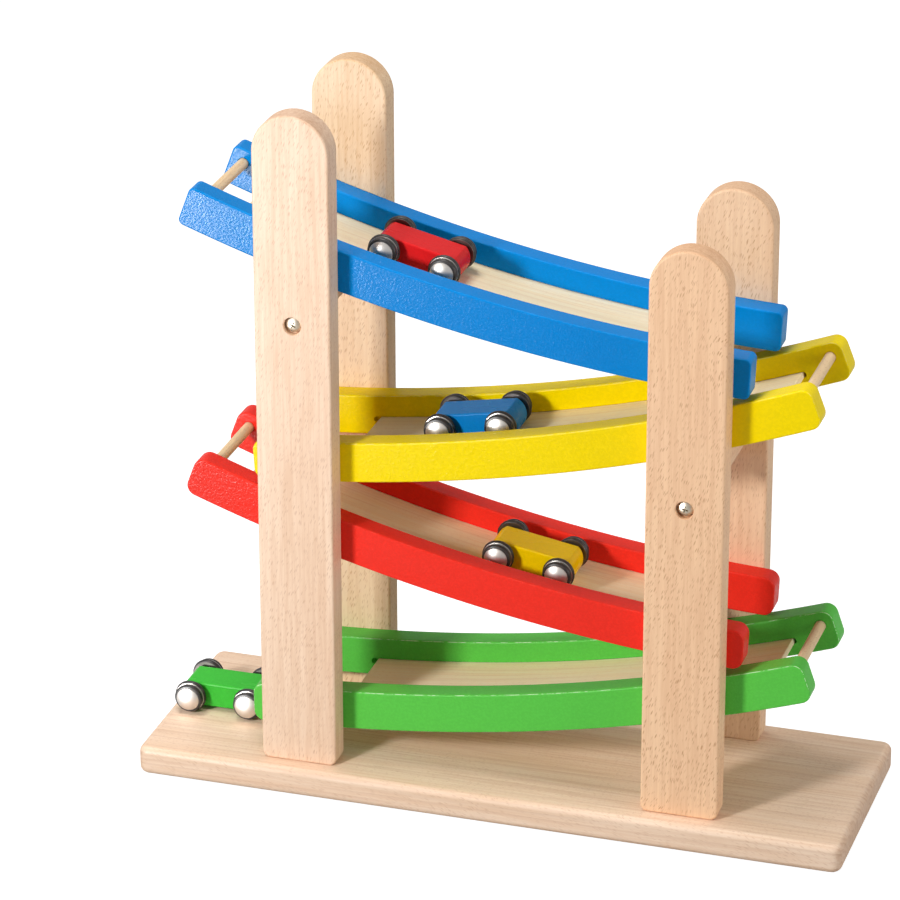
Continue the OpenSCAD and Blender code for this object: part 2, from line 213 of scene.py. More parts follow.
def new_finish(name, group, values, bump, strength, place="Object", shift=(0, 0, 0), turn=(0, 0, 0)):
    """A material with its colour, roughness and relief from a node group, laid over a piece."""
    finish = bpy.data.materials.new(name)
    finish.use_nodes = True
    tree = finish.node_tree
    shader = tree.nodes["Principled BSDF"]
    if place == "Object":
        source = add_node(tree, "TexCoord").outputs["Object"]
    else:
        source = add_node(tree, "Attribute", attribute_name=place).outputs["Vector"]
    laid = add_node(tree, "Mapping", {"Vector": source, "Location": shift, "Rotation": turn})
    skin = add_node(tree, "Group", {"Place": laid.outputs[0]}, node_tree=group)
    for socket, value in values.items():
        skin.inputs[socket].default_value = value
    raised = {"Height": skin.outputs["Height"], "Distance": bump * mm, "Strength": strength}
    tree.links.new(skin.outputs["Colour"], shader.inputs["Base Color"])
    tree.links.new(skin.outputs["Roughness"], shader.inputs["Roughness"])
    tree.links.new(add_node(tree, "Bump", raised).outputs[0], shader.inputs["Normal"])
    return finish, tree, shader, skin


def srgb(red, green, blue):
    """A colour as it is read off a screen, 0 to 255, for a shader."""
    return tuple(
        c / 12.92 if c <= 0.04045 else ((c + 0.055) / 1.055) ** 2.4
        for c in (red / 255, green / 255, blue / 255)
    ) + (1.0,)


# Wood grain, along the X of the place that it is given: broad soft tones, fine fibres, thin growth
# lines that run almost straight, and the short, slightly slanted flecks of beech.
wood_grain, given, out = new_group(
    "wood grain",
    (
        ("Place", "Vector", None),
        ("Pale", "Color", srgb(243, 208, 172)),
        ("Dark", "Color", srgb(222, 178, 138)),
        ("Fleck", "Color", srgb(172, 118, 78)),
        ("Flecks", "Float", 0.7),
        ("Growth lines", "Float", 0.3),
        ("End grain", "Float", 0.0),
    ),
    (("Colour", "Color"), ("Roughness", "Float"), ("Height", "Float")),
)
tree = wood_grain
bands = noise(tree, given["Place"], (4, 85, 85), 2)
fibres = noise(tree, given["Place"], (30, 800, 800), 4, 0.7)
tone = calc(tree, "MULTIPLY", step_between(tree, bands, 0.3, 0.7), 0.5)
tone = calc(tree, "MULTIPLY_ADD", step_between(tree, fibres, 0.34, 0.66), 0.6, tone)
tone = blend_colours(tree, tone, given["Pale"], given["Dark"])

# Growth lines are rings about the X axis, bent and broken; the end grain shows them more
rings_to_the_metre, ring_bend = 360, 6
pith = stretch(tree, given["Place"], (0, 1, 1))
pith = add_node(tree, "VectorMath", {0: pith}, operation="LENGTH").outputs["Value"]
bend = calc(tree, "MULTIPLY", noise(tree, given["Place"], (2.5, 70, 70), 2), ring_bend)
rings = calc(tree, "FRACT", calc(tree, "MULTIPLY_ADD", pith, rings_to_the_metre, bend))
broken = step_between(tree, noise(tree, given["Place"], (14, 340, 340), 2), 0.35, 0.6)
across = step_between(tree, given["End grain"], 0.25, 0.95)
shown = calc(tree, "MULTIPLY_ADD", across, 0.3, given["Growth lines"])
ring_line = calc(tree, "MULTIPLY", step_between(tree, rings, 0.3, 0.95), broken)
tone = blend_colours(tree, calc(tree, "MULTIPLY", ring_line, shown), tone, given["Fleck"])

# Flecks are long cells, slanted and swayed, of which some are faint and some places have few
slant_by, slant_sway, side_sway = 0.3, 8 * mm, 5 * mm
sway = noise(tree, given["Place"], (26, 60, 60), 1)
along = add_node(tree, "SeparateXYZ", {0: given["Place"]}).outputs[0]
slant = calc(tree, "MULTIPLY_ADD", along, slant_by, calc(tree, "MULTIPLY", sway, slant_sway))
swayed = add_node(tree, "CombineXYZ", {1: calc(tree, "MULTIPLY", sway, side_sway), 2: slant}).outputs[0]
swayed = add_node(tree, "VectorMath", {0: given["Place"], 1: swayed}).outputs[0]
cells = {"Vector": stretch(tree, swayed, (310, 1750, 1750)), "Scale": 1.0, "Randomness": 1.0}
cells = add_node(tree, "TexVoronoi", cells, feature="F1").outputs
present = add_node(tree, "SeparateColor", {0: cells["Color"]}).outputs[0]
spot = calc(tree, "SUBTRACT", 1.0, step_between(tree, cells["Distance"], 0.16, 0.46))
spot = calc(tree, "MULTIPLY", spot, step_between(tree, present, 0.1, 0.6))
patches = step_between(tree, noise(tree, given["Place"], (30, 90, 90), 1), 0.3, 0.6)
spot = calc(tree, "MULTIPLY", spot, calc(tree, "MULTIPLY_ADD", patches, 0.5, 0.5))
tone = blend_colours(tree, calc(tree, "MULTIPLY", spot, given["Flecks"]), tone, given["Fleck"])

ends = calc(tree, "MULTIPLY", calc(tree, "MULTIPLY_ADD", fibres, 0.5, 0.1), across)
tree.links.new(blend_colours(tree, ends, tone, given["Fleck"]), out["Colour"])
tree.links.new(calc(tree, "MULTIPLY_ADD", fibres, 0.14, 0.4), out["Roughness"])
tree.links.new(calc(tree, "MULTIPLY_ADD", spot, -0.8, fibres), out["Height"])


def wooden(name, along, tones, flecks, growth, shift=(0, 0, 0), place="Object", bump=0.05):
    """A clear-lacquered wood, with its grain along an axis of the toy or of a piece's own grain."""
    turn = {"X": (0, 0, 0), "Y": (0, 0, math.pi / 2), "Z": (0, math.pi / 2, 0)}[along]
    values = dict(zip(("Pale", "Dark", "Fleck"), tones))
    values.update({"Flecks": flecks, "Growth lines": growth})
    finish, tree, shader, grain = new_finish(name, wood_grain, values, bump, 0.6, place, shift, turn)
    if place == "Object":
        axis = {"X": (1, 0, 0), "Y": (0, 1, 0), "Z": (0, 0, 1)}[along]
        normal = add_node(tree, "TexCoord").outputs["Normal"]
        facing = add_node(tree, "VectorMath", {0: normal, 1: axis}, operation="DOT_PRODUCT")
        end_grain = calc(tree, "ABSOLUTE", facing.outputs["Value"])
        tree.links.new(end_grain, grain.inputs["End grain"])
    shader.inputs["Specular IOR Level"].default_value = 0.15
    return finish


def dress(piece, name, finish, slot, body, *replaced):
    """Names a piece, gives it its finish, and lets it move with its body in place of CAD nodes."""
    piece.name = piece.data.name = name
    piece.data.materials.clear()
    piece.data.materials.append(finish)
    level = piece.modifiers.new("even light on flat faces", "WEIGHTED_NORMAL")
    level.keep_sharp = True
    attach(piece, body)
    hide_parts(*replaced)
    return piece


def repaint(node, finish):
    """Gives a CAD node that stays its finish."""
    for slot in nodes[node].material_slots:
        slot.material = finish


low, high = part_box("base_board")
bpy.ops.mesh.primitive_cube_add(size=1, location=(low + high) / 2, scale=high - low)
board = fix_place()
open_piece(board)
corner_r, edge_r = 4.5 * mm, 3 * mm
pick("EDGE", runs_along(2))
bpy.ops.mesh.bevel(offset=corner_r, segments=8, affect="EDGES")
pick("EDGE", rim_of(2))
bpy.ops.mesh.bevel(offset=edge_r, segments=8, affect="EDGES")
close_piece(board)

upright_x, upright_y, screw_pitch = 81 * mm, 36.5 * mm, 16 * mm
sink_r, neck_r, hole_r = 3.53 * mm, 1.78 * mm, 1.95 * mm
countersink = [
    (sink_r + 0.8 * mm, -1 * mm), (sink_r, -0.2 * mm), (sink_r, 0.8 * mm),
    (neck_r, 2.8 * mm), (hole_r, 2.81 * mm), (hole_r, high.z + 1.5 * mm),
]
for x in (-upright_x, upright_x):
    for y in (-upright_y, upright_y):
        for along in (-screw_pitch / 2, screw_pitch / 2):
            tool = turned(countersink, 32)
            cut(board, turn_into_place(tool, Matrix.Translation((x + along, y, 0))))
board_tones = (srgb(250, 224, 200), srgb(238, 204, 174), srgb(204, 158, 124))
board_finish = wooden("beech board, planed", "X", board_tones, 0.4, 0.25, shift=(0.31, 0.09, 0.05))
dress(board, "base_board_planed", board_finish, "board_beech", "frame", "base_board")

# Base screws: eight countersunk wood screws, zinc plated, driven up through the board into the
# feet of the uprights. They sit just under the board's underside.
metal_skin, given, out = new_group(
    "drawn or plated metal",
    (
        ("Place", "Vector", None),
        ("Colour", "Color", srgb(205, 205, 205)),
        ("Roughness", "Float", 0.3),
        ("Dulling", "Float", 0.3),
    ),
    (("Colour", "Color"), ("Roughness", "Float"), ("Height", "Float")),
)
tree = metal_skin
cloud = noise(tree, given["Place"], (260, 260, 260), 3)
scuff = noise(tree, given["Place"], (1500, 5200, 1500), 2)
dull = calc(tree, "MULTIPLY", step_between(tree, cloud, 0.4, 0.75), given["Dulling"])
rough = calc(tree, "MULTIPLY_ADD", dull, 0.35, given["Roughness"])
tree.links.new(blend_colours(tree, dull, given["Colour"], srgb(120, 116, 110)), out["Colour"])
tree.links.new(calc(tree, "MULTIPLY_ADD", scuff, 0.08, rough), out["Roughness"])
tree.links.new(calc(tree, "MULTIPLY_ADD", cloud, 0.6, scuff), out["Height"])


def metal(name, colour, roughness, dulling, bump=0.004, back=None):
    """A bare or plated metal, with a darker colour painted on as shade where the piece marks its back."""
    values = {"Colour": colour, "Roughness": roughness, "Dulling": dulling}
    finish, tree, shader, skin = new_finish(name, metal_skin, values, bump, 0.5)
    if back is not None:
        # Painted shade: the marked back takes the darker colour.
        marked = add_node(tree, "Attribute", attribute_name="back").outputs["Fac"]
        tone = blend_colours(tree, marked, skin.outputs["Colour"], back)
        tree.links.new(tone, shader.inputs["Base Color"])
    shader.inputs["Metallic"].default_value = 1.0
    return finish


zinc = metal("zinc plated screws", srgb(196, 186, 168), 0.28, 0.5)
repaint("base_screws", zinc)

# Uprights: four flat beech boards with full round tops, the left pair taller than the right.
# Each stands on the board on two screws, and has a counterbored hole for a crossbar's screw.
upright_w, upright_t, foot_r, arris_r = 32 * mm, 11 * mm, 3 * mm, 1 * mm
bore_r, bore_depth, bore_lead = 3.7 * mm, 3 * mm, 0.25 * mm
seat_y = upright_y + upright_t / 2 - bore_depth
left_bar_z, right_bar_z = (
    (bottom.z + top.z) / 2 for bottom, top in (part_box("crossbar_left"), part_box("crossbar_right"))
)
outwards = Matrix.Rotation(-math.pi / 2, 4, "X")
to_front = Matrix.Scale(-1, 4, (0, 1, 0))


def upright_pattern(length, bar_z):
    """The back upright of a pair, standing at x = 0."""
    half, foot = upright_w / 2, high.z
    shoulder = foot + length - half
    bpy.ops.mesh.primitive_cylinder_add(
        vertices=96, radius=half, depth=upright_t, end_fill_type="NGON",
        location=(0, upright_y, shoulder), rotation=(math.pi / 2, 0, 0),
    )
    piece = fix_place()
    open_piece(piece)
    bpy.ops.mesh.select_all(action="SELECT")
    bpy.ops.mesh.bisect(
        plane_co=(0, 0, shoulder), plane_no=(0, 0, 1), use_fill=True, clear_inner=True
    )
    pick("FACE", lambda face: abs(face.calc_center_median().z - shoulder) < 0.001 * mm)
    bpy.ops.mesh.extrude_region_move(TRANSFORM_OT_translate={"value": (0, 0, foot - shoulder)})
    pick("EDGE", lambda edge: runs_along(1)(edge) and abs(edge.verts[0].co.z - foot) < 0.001 * mm)
    bpy.ops.mesh.bevel(offset=foot_r, segments=6, affect="EDGES")
    pick("EDGE", rim_of(1))
    bpy.ops.mesh.bevel(offset=arris_r, segments=4, affect="EDGES")
    close_piece(piece)
    deep = bore_depth - bore_lead
    counterbore = turned([(bore_r, 0), (bore_r, deep), (bore_r + mm, deep + mm)])
    seat = Matrix.Translation((0, seat_y, bar_z)) @ outwards
    return cut(piece, turn_into_place(counterbore, seat))


upright_tones = {
    "front left": ((srgb(250, 221, 194), srgb(232, 194, 162), srgb(202, 154, 120)), 0.6),
    "back left": ((srgb(250, 220, 184), srgb(234, 196, 154), srgb(204, 156, 110)), 0.8),
    "front right": ((srgb(252, 212, 172), srgb(236, 190, 150), srgb(208, 156, 116)), 1.0),
    "back right": ((srgb(248, 212, 176), srgb(234, 192, 154), srgb(206, 156, 116)), 1.0),
}
for side, x, length, bar_z in (
    ("left", -upright_x, 282 * mm, left_bar_z), ("right", upright_x, 243.7 * mm, right_bar_z),
):
    pattern = upright_pattern(length, bar_z)
    for depth_name, turn in (("back", Matrix.Identity(4)), ("front", to_front)):
        tones, flecks = upright_tones[f"{depth_name} {side}"]
        name, node = f"beech, {depth_name} {side} upright", f"upright_{depth_name}_{side}"
        shift = (0.2, 0.17 if side == "left" else 0.43, 0.1)
        finish = wooden(name, "Z", tones, flecks, 0.06, shift)
        piece = another(pattern, Matrix.Translation((x, 0, 0)) @ turn)
        dress(piece, f"{node}_planed", finish, "upright_beech", "frame", node)
    bpy.data.objects.remove(pattern)

# Crossbars: two beech dowels between the front and back uprights, screwed at both ends.


def dowel(radius, length, ease, count=40):
    """A turned dowel along Y, with its ends eased."""
    rod = turned(
        [(radius - ease, -length / 2), (radius, ease - length / 2), (radius, -length / 6),
         (radius, length / 6), (radius, length / 2 - ease), (radius - ease, length / 2)],
        count,
    )
    return turn_into_place(rod, outwards)


dowel_tones = (srgb(246, 222, 184), srgb(230, 198, 154), srgb(192, 148, 106))
dowel_finish = wooden("birch dowel", "Y", dowel_tones, 0.35, 0.2, bump=0.08)
bar_tones = (srgb(246, 214, 184), srgb(236, 196, 162), srgb(190, 136, 96))
bar_finish = wooden("beech crossbar", "Y", bar_tones, 0.6, 0.3, shift=(0.4, 0.2, 0))
bar_r, bar_len, bar_ease = 6 * mm, 62 * mm, 0.4 * mm
for side, x, bar_z in (("left", -upright_x, left_bar_z), ("right", upright_x, right_bar_z)):
    bar = turn_into_place(dowel(bar_r, bar_len, bar_ease), Matrix.Translation((x, 0, bar_z)))
    dress(bar, f"crossbar_{side}_turned", bar_finish, "upright_beech", "frame", f"crossbar_{side}")

# Crossbar screws: four pan-head wood screws with a cross recess, down in their counterbores.
head_r, edge, head_h = 3 * mm, 1.2 * mm, 2.2 * mm
shank_r, shank_len, point_len, point_r = 1.75 * mm, 22 * mm, 4 * mm, 0.3 * mm
crown = head_h - edge
ball = (head_r ** 2 + crown ** 2) / (2 * crown)
dome = [
    (r, head_h - ball + math.sqrt(ball ** 2 - r ** 2))
    for r in (2.6 * mm, 2.1 * mm, 1.6 * mm, 1.1 * mm, 0.6 * mm, 0.15 * mm)
]
screw = turned(
    [(point_r, -shank_len), (shank_r, point_len - shank_len), (shank_r, 0),
     (head_r - 0.15 * mm, 0), (head_r, 0.12 * mm), (head_r, edge)] + dome
)
recess = Vector((3.6 * mm, 0.8 * mm, 1.8 * mm))
for turn in (0, math.pi / 2):
    bpy.ops.mesh.primitive_cube_add(
        size=1, location=(0, 0, mm + recess.z / 2), rotation=(0, 0, turn), scale=recess
    )
    wing = fix_place()
    open_piece(wing)
    pick("FACE", lambda face: face.normal.z < -0.9)
    bpy.ops.transform.resize(value=(0.45, 0.45, 1), center_override=(0, 0, mm))
    close_piece(wing)
    cut(screw, wing)
heads = []
for x, bar_z in ((-upright_x, left_bar_z), (upright_x, right_bar_z)):
    for turn in (Matrix.Identity(4), to_front):
        seat = Matrix.Translation((x, seat_y, bar_z)) @ outwards
        twist = Matrix.Rotation(math.radians(28 if x < 0 else 17), 4, "Z")
        heads.append(another(screw, turn @ seat @ twist))
bpy.data.objects.remove(screw)
dress(put_together(heads), "crossbar_screws_plated", zinc, "screw_zinc", "frame", "crossbar_screws")

# Ramps: each has two painted rails with a birch strip let into their grooves, and a bare stop
# dowel across the upper end. One is modelled with the centre of its arc at the origin and its
# upper end to the right, and is then turned into each place. The blue one has tighter corners.
rail_r, rail_h, rail_t, rail_len = 753 * mm, 17 * mm, 10 * mm, 236.6 * mm
half_channel, floor_drop, floor_t = 21 * mm, 9.4 * mm, 2.5 * mm
drop_gap, floor_setback, groove_past, groove_depth = 37 * mm, 19 * mm, 3 * mm, 3 * mm
stop_r, stop_inset, stop_socket, rail_arris = 2.25 * mm, 6 * mm, 5 * mm, 0.8 * mm
half_turn = rail_len / rail_r / 2


def swept(low_r, high_r, low_y, high_y, low_a, high_a, steps):
    """A bar with a flat end at each angle from straight down, swept about the origin."""
    middle = (low_r + high_r) / 2
    bpy.ops.mesh.primitive_plane_add(
        size=1,
        location=(middle * math.sin(low_a), (low_y + high_y) / 2, -middle * math.cos(low_a)),
        rotation=(0, math.pi / 2 - low_a, 0),
    )
    # The plane operator pays no heed to a scale that it is given
    bpy.context.object.scale = (high_r - low_r, high_y - low_y, 1)
    piece = fix_place()
    open_piece(piece)
    bpy.ops.mesh.select_all(action="SELECT")
    bpy.ops.mesh.spin(steps=steps, angle=high_a - low_a, center=(0, 0, 0), axis=(0, 1, 0))
    bpy.ops.mesh.select_all(action="SELECT")
    bpy.ops.mesh.normals_make_consistent(inside=False)
    return piece


def angle_of(point):
    """A point's angle from straight down, towards +X."""
    return math.atan2(point.x, -point.z)


def at_ends(low_a, high_a):
    """Edges across the toy at the two ends of a swept bar."""
    return lambda edge: runs_along(1)(edge) and min(
        abs(angle_of(edge.verts[0].co) - a) for a in (low_a, high_a)
    ) < 1e-4


def lay_grain(piece):
    """Keeps where each point lies along, across and through an arc, for its grain to follow."""
    record = piece.data.attributes.new("grain", "FLOAT_VECTOR", "POINT")
    for point, kept in zip(piece.data.vertices, record.data):
        radius = math.hypot(point.co.x, point.co.z)
        kept.vector = (angle_of(point.co) * rail_r, point.co.y, radius - rail_r)


def mark_arrises(piece):
    """Marks the middle of each rounded arris along the sides, for the paint's wear and its painted
    highlight.
    """
    wear = piece.data.attributes.new("arris", "FLOAT", "POINT")
    for point, kept in zip(piece.data.vertices, wear.data):
        kept.value = 1.0 if 0.5 < abs(point.normal.y) < 0.86 else 0.0


slot_half = floor_t / 2 + 0.14 * mm
floor_low_a, floor_high_a = drop_gap / rail_r - half_turn, half_turn - floor_setback / rail_r
stop_a, stop_path = half_turn - stop_inset / rail_r, rail_r + stop_inset
stop_place = Vector((stop_path * math.sin(stop_a), 0, -stop_path * math.cos(stop_a)))


def rail_pattern(corner):
    """The back rail of a ramp, with its groove and the socket of its stop dowel."""
    rail = swept(
        rail_r, rail_r + rail_h, half_channel, half_channel + rail_t, -half_turn, half_turn, 40
    )
    pick("EDGE", at_ends(-half_turn, half_turn))
    bpy.ops.mesh.bevel(offset=corner, segments=8, affect="EDGES")
    pick("EDGE", rim_of(1))
    bpy.ops.mesh.bevel(offset=rail_arris, segments=4, affect="EDGES")
    close_piece(rail)
    mark_arrises(rail)
    low_a = floor_low_a - groove_past / rail_r
    high_a = floor_high_a + slot_half / rail_r
    slot_r = rail_r + floor_drop - 0.25 * mm
    groove = swept(
        slot_r, slot_r + 2 * slot_half, half_channel - mm, half_channel + groove_depth + 0.03 * mm,
        low_a, high_a, 32,
    )
    pick("EDGE", at_ends(low_a, high_a))
    bpy.ops.mesh.bevel(offset=0.98 * slot_half, segments=6, affect="EDGES")
    cut(rail, close_piece(groove))
    socket_r = stop_r + 0.15 * mm
    socket = turned([(socket_r + 1.2 * mm, -mm), (socket_r, 0.2 * mm), (socket_r, stop_socket)], 40)
    seat = Matrix.Translation(stop_place + Vector((0, half_channel, 0))) @ outwards
    cut(rail, turn_into_place(socket, seat))
    lay_grain(rail)
    return rail


tight_rail, round_rail = rail_pattern(2.5 * mm), rail_pattern(4.5 * mm)
strip = swept(
    rail_r + floor_drop, rail_r + floor_drop + floor_t, -half_channel - groove_depth,
    half_channel + groove_depth, floor_low_a, floor_high_a, 36,
)
pick("EDGE", at_ends(floor_low_a, floor_high_a))
bpy.ops.mesh.bevel(offset=0.35 * mm, segments=3, affect="EDGES")
close_piece(strip)
lay_grain(strip)

stop = turn_into_place(dowel(stop_r, 52 * mm, 0.3 * mm, 32), Matrix.Translation(stop_place))
lay_grain(stop)

# Paint: a semi-gloss coat over sanded wood. It has a fine orange peel, which also darkens the colour in a
# fine speckle of painted shade, lets the grain through a little, and is thin and pale where the arrises are
# sanded, a pale that is partly a painted highlight along them.
paint_coat, given, out = new_group(
    "paint coat",
    (
        ("Place", "Vector", None),
        ("Paint", "Color", srgb(0, 120, 215)),
        ("Worn and highlit", "Color", srgb(150, 200, 230)),
        ("Arris", "Float", 0.0),
        ("Wear", "Float", 0.5),
        ("Roughness", "Float", 0.3),
    ),
    (("Colour", "Color"), ("Roughness", "Float"), ("Height", "Float")),
)
tree = paint_coat
clouds = noise(tree, given["Place"], (40, 90, 90), 3)
peel = noise(tree, given["Place"], (1000, 1000, 1000), 2, 0.7)
pores = noise(tree, given["Place"], (260, 1200, 1200), 2)
rub = noise(tree, given["Place"], (260, 700, 700), 3, 0.6)
coat = calc(tree, "MULTIPLY", clouds, 0.04)
# Painted shade: the orange peel darkens the colour a little, as its bumps would shade it.
coat = calc(tree, "MULTIPLY_ADD", step_between(tree, peel, 0.35, 0.6), 0.06, coat)
coat = blend_colours(tree, coat, given["Paint"], (0, 0, 0, 1))
# Pale arrises: partly real wear, partly a painted highlight along the edge.
arris_wear_and_highlight = step_between(tree, given["Arris"], 0.45, 0.9)
arris_wear_and_highlight = calc(tree, "MULTIPLY", arris_wear_and_highlight, step_between(tree, rub, 0.42, 0.6))
arris_wear_and_highlight = calc(tree, "MULTIPLY", arris_wear_and_highlight, given["Wear"])
rough = calc(tree, "MULTIPLY_ADD", clouds, 0.1, given["Roughness"])
tree.links.new(blend_colours(tree, arris_wear_and_highlight, coat, given["Worn and highlit"]), out["Colour"])
tree.links.new(calc(tree, "MULTIPLY_ADD", arris_wear_and_highlight, 0.25, rough), out["Roughness"])
tree.links.new(calc(tree, "MULTIPLY_ADD", pores, 0.35, peel), out["Height"])


def painted(name, colour, worn_and_highlit, wear, roughness=0.2, bump=0.17):
    """A coat of paint on a piece that keeps its grain and its arrises."""
    values = {"Paint": colour, "Worn and highlit": worn_and_highlit, "Wear": wear, "Roughness": roughness}
    finish, tree, shader, coat = new_finish(name, paint_coat, values, bump, 0.8, "grain", colour[:3])
    arris = add_node(tree, "Attribute", attribute_name="arris").outputs["Fac"]
    tree.links.new(arris, coat.inputs["Arris"])
    shader.inputs["Specular IOR Level"].default_value = 0.08
    return finish


strip_tones = (srgb(255, 243, 212), srgb(252, 230, 188), srgb(226, 188, 142))
strip_finish = wooden("birch strip", "X", strip_tones, 0.3, 0.3, place="grain")
stop_tones = (srgb(250, 226, 190), srgb(234, 202, 158), srgb(196, 150, 108))
stop_finish = wooden("birch stop dowel", "Y", stop_tones, 0.4, 0.25, place="grain", bump=0.1)
low_tip_r = rail_r + rail_h
high_end_x, green_clear = 127 * mm, 10.3 * mm
arc_z = {}
# The ramp just under each ramp, and the gap between the two
above = {"red": ("green", 1.3 * mm), "yellow": ("red", 2.3 * mm), "blue": ("yellow", 0.7 * mm)}
# The side of a ramp's high end (1 is right), how far its arc's centre lies to the other side of the middle,
# its paint, the colour of its worn arrises, which is partly a painted highlight, and how much they are worn
ramps = {
    "green": (1, 122.7 * mm, srgb(96, 206, 78), srgb(224, 248, 210), 1.0),
    "red": (-1, 136.2 * mm, srgb(250, 52, 38), srgb(246, 112, 98), 0.3),
    "yellow": (1, 149 * mm, srgb(255, 226, 0), srgb(254, 242, 150), 0.8),
    "blue": (-1, 136.5 * mm, srgb(0, 136, 218), srgb(60, 166, 232), 0.3),
}
for colour, (side, low_x, paint, worn_and_highlit, wear) in ramps.items():
    # The green ramp hangs over the board, and each other one just over the ramp below it
    centre_x = -side * low_x
    middle = side * (math.asin((high_end_x + low_x) / rail_r) - half_turn)
    if colour == "green":
        arc_z[colour] = high.z + green_clear + low_tip_r
    else:
        under, gap = above[colour]
        tip = middle - side * half_turn
        under_x = -ramps[under][0] * ramps[under][1]
        tip_x = centre_x + low_tip_r * math.sin(tip)
        under_top = arc_z[under] - math.sqrt(rail_r ** 2 - (tip_x - under_x) ** 2)
        arc_z[colour] = under_top + gap + low_tip_r * math.cos(tip)
    hang = Matrix.Translation((centre_x, 0, arc_z[colour])) @ Matrix.Rotation(-middle, 4, "Y")
    if side < 0:
        hang = hang @ Matrix.Scale(-1, 4, (1, 0, 0))
    coat = painted(f"{colour} paint on the rails", paint, worn_and_highlit, wear)
    pattern = tight_rail if colour == "blue" else round_rail
    for depth_name, turn in (("back", Matrix.Identity(4)), ("front", to_front)):
        rail, node = another(pattern, hang @ turn), f"{colour}_rail_{depth_name}"
        dress(rail, f"{node}_painted", coat, f"{colour}_paint", "frame", node)
    floor, node = another(strip, hang), f"{colour}_floor"
    dress(floor, f"{node}_strip", strip_finish, "floor_birch", "frame", node)
    rod, node = another(stop, hang), f"{colour}_stop_dowel"
    dress(rod, f"{colour}_stop_turned", stop_finish, "dowel_birch", "frame", node)
    repaint(f"{colour}_rail_pins", dowel_finish)
for pattern in (tight_rail, round_rail, strip, stop):
    bpy.data.objects.remove(pattern)

# Car bodies: a small block of wood with curved ends, sanded arrises and a coat of gloss paint,
# drilled across for its two axles. It is modelled about the point midway between the axles.
wheelbase, wheel_r, gap = 26 * mm, 6.8 * mm, 0.15 * mm
car_len, car_width, car_top, car_low = 37 * mm, 16 * mm, 5 * mm, -5.4 * mm
end_r, end_drop, crease_r, car_arris, axle_bore_r = 7.2 * mm, 0.9 * mm, 0.3 * mm, 0.8 * mm, 1.25 * mm
end_x = car_len / 2 - end_r
bpy.ops.mesh.primitive_cylinder_add(
    vertices=96, radius=end_r, depth=car_width, end_fill_type="NGON", location=(end_x, 0, -end_drop),
    rotation=(math.pi / 2, 0, 0),
)
block = fix_place()
open_piece(block)
for face_place, away in (
    ((0, 0, car_top), (0, 0, 1)), ((0, 0, car_low), (0, 0, -1)), ((end_x, 0, 0), (-1, 0, 0)),
):
    bpy.ops.mesh.select_all(action="SELECT")
    bpy.ops.mesh.bisect(plane_co=face_place, plane_no=away, use_fill=True, clear_outer=True)
pick("FACE", lambda face: face.normal.x < -0.99)
bpy.ops.mesh.extrude_region_move(TRANSFORM_OT_translate={"value": (-end_x, 0, 0)})
bpy.ops.mesh.delete(type="ONLY_FACE")
bpy.ops.object.mode_set(mode="OBJECT")
block = put_together([block, another(block, Matrix.Scale(-1, 4, (1, 0, 0)))])
open_piece(block)
bpy.ops.mesh.select_all(action="SELECT")
bpy.ops.mesh.remove_doubles(threshold=0.001 * mm)


def crease(edge):
    """Edges across the car where its flat top or bottom meets a curved end."""
    flat = [face for face in edge.link_faces if abs(face.normal.z) > 0.99]
    return runs_along(1)(edge) and abs(edge.verts[0].co.x) > mm and len(flat) == 1


pick("EDGE", crease)
bpy.ops.mesh.bevel(offset=crease_r, segments=2, affect="EDGES")
pick("EDGE", rim_of(1))
bpy.ops.mesh.bevel(offset=car_arris, segments=4, affect="EDGES")
close_piece(block, 30)
mark_arrises(block)
side_y, bore_in, mouth_r = car_width / 2, 0.35 * mm, 1.9 * mm
axle_bore = [
    (mouth_r, -side_y - mm), (axle_bore_r, bore_in - side_y), (axle_bore_r, side_y - bore_in),
    (mouth_r, side_y + mm),
]
for x in (-wheelbase / 2, wheelbase / 2):
    bore = turned(axle_bore, 32)
    cut(block, turn_into_place(bore, Matrix.Translation((x, 0, 0)) @ outwards))
record = block.data.attributes.new("grain", "FLOAT_VECTOR", "POINT")
for point, kept in zip(block.data.vertices, record.data):
    kept.vector = point.co

floor_r = rail_r + floor_drop
axle_path = floor_r - wheel_r - gap
car_path = math.sqrt(axle_path ** 2 - (wheelbase / 2) ** 2)
# A car's ramp, its place along the toy, its paint, its worn paint on the arrises, which is partly a painted
# highlight, and where its front is (1 is right)
cars = {
    "red_car": ("blue", -40 * mm, srgb(226, 32, 34), srgb(240, 110, 100), 1),
    "blue_car": ("yellow", -16.5 * mm, srgb(14, 134, 214), srgb(90, 160, 220), -1),
    "yellow_car": ("red", 8.2 * mm, srgb(250, 212, 4), srgb(252, 232, 120), 1),
    "green_car": (None, -127.2 * mm, srgb(66, 200, 62), srgb(150, 218, 130), -1),
}
car_places = {}
for car, (ramp, x, paint, worn_and_highlit, way) in cars.items():
    if ramp is None:
        place = Matrix.Translation((x, 0, high.z + wheel_r + gap))
    else:
        centre_x = -ramps[ramp][0] * ramps[ramp][1]
        tilt = math.asin((x - centre_x) / car_path)
        place = Matrix.Translation((centre_x, 0, arc_z[ramp])) @ Matrix.Rotation(-tilt, 4, "Y")
        place = place @ Matrix.Translation((0, 0, -car_path))
    car_places[car] = place
    coat = painted(f"{car.replace('_', ' ')} paint", paint, worn_and_highlit, 0.3, 0.22, 0.06)
    dress(another(block, place), f"{car}_body_painted", coat, f"{car}_paint", car, f"{car}_body")
bpy.data.objects.remove(block)

# Axles: plain drawn steel rods, two to a car, pressed into the hubs at both ends.
steel = metal("drawn steel axles", srgb(170, 170, 172), 0.3, 0.3)
for car in cars:
    repaint(f"{car}_front_axle", steel)
    repaint(f"{car}_rear_axle", steel)

